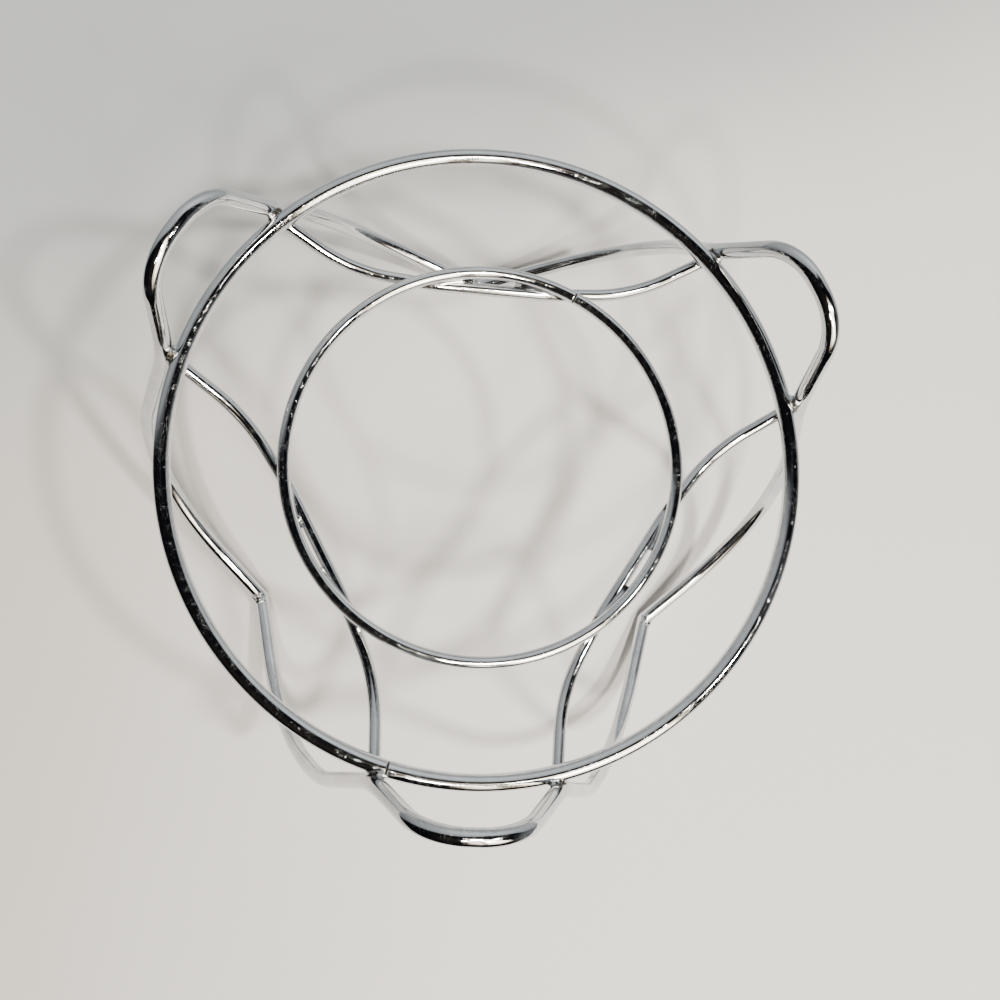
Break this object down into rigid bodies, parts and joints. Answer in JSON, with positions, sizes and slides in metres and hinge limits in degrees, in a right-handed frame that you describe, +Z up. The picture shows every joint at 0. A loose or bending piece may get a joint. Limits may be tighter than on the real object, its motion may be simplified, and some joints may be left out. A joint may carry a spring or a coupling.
{
  "type": "welded wire stand",
  "caption": "Round welded-wire stand: a large and a small level ring on arched leg wires whose rounded ears rise above the rim.",
  "frame": {"origin": "on the rings' common axis, in the plane of the table, half way between the three feet", "axes": "+Z up along the rings' axis; one ear over -Y, the other two 30 degrees above +X and -X; X is the widest way across"},
  "size_m": [0.206, 0.1872, 0.1218],
  "materials": {
    "chrome_wire": "bright chrome plate, lightly scratched and pitted",
    "weld_metal": "plated-over weld metal, uneven, with brown flux marks"
  },
  "bodies": {
    "root": {"cross_1_ring_weld_a": "weld_metal", "cross_1_ring_weld_b": "weld_metal", "cross_1_small_ring_weld_a": "weld_metal", "cross_1_small_ring_weld_b": "weld_metal", "cross_2_ring_weld_a": "weld_metal", "cross_2_ring_weld_b": "weld_metal", "cross_2_small_ring_weld_a": "weld_metal", "cross_2_small_ring_weld_b": "weld_metal", "cross_3_ring_weld_a": "weld_metal", "cross_3_ring_weld_b": "weld_metal", "cross_3_small_ring_weld_a": "weld_metal", "cross_3_small_ring_weld_b": "weld_metal", "cross_wire_1": "chrome_wire", "cross_wire_2": "chrome_wire", "cross_wire_3": "chrome_wire", "foot_weld_1": "weld_metal", "foot_weld_2": "weld_metal", "foot_weld_3": "weld_metal", "large_ring": "chrome_wire", "large_ring_butt_weld": "weld_metal", "leg_1_ring_weld_a": "weld_metal", "leg_1_ring_weld_b": "weld_metal", "leg_2_ring_weld_a": "weld_metal", "leg_2_ring_weld_b": "weld_metal", "leg_3_ring_weld_a": "weld_metal", "leg_3_ring_weld_b": "weld_metal", "leg_wire_1": "chrome_wire", "leg_wire_2": "chrome_wire", "leg_wire_3": "chrome_wire", "small_ring": "chrome_wire", "small_ring_butt_weld": "weld_metal"}
  },
  "joints": []
}
